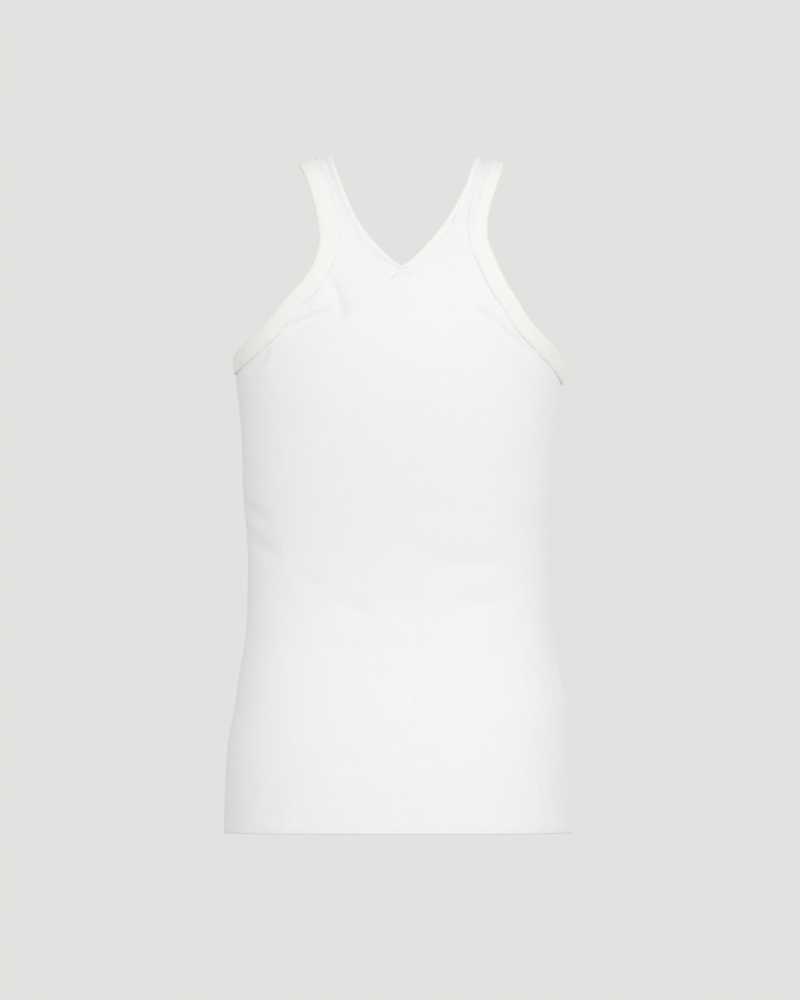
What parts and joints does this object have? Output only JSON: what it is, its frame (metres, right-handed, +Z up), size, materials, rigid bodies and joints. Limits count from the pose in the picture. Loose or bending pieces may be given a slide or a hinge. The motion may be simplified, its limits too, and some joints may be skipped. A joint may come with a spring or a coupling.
{
  "type": "tank top",
  "caption": "Sleeveless ribbed knit tank top, hollow as if worn, with a narrow racer-cut back, a bound V neck at the back and bound armholes.",
  "frame": {"origin": "midway between the shoulders, level with the underside of the straps where they cross the shoulders", "axes": "+Z up the garment, back towards -Y, front towards +Y, the wearer's right towards +X"},
  "size_m": [0.313, 0.2215, 0.6105],
  "materials": {
    "rib_knit": "matt off-white ribbed cotton knit",
    "binding_knit": "matt off-white ribbed cotton knit, folded double"
  },
  "bodies": {
    "root": {"back_panel": "rib_knit", "front_panel": "rib_knit", "neck_binding": "binding_knit", "left_armhole_binding": "binding_knit", "right_armhole_binding": "binding_knit"}
  },
  "joints": []
}
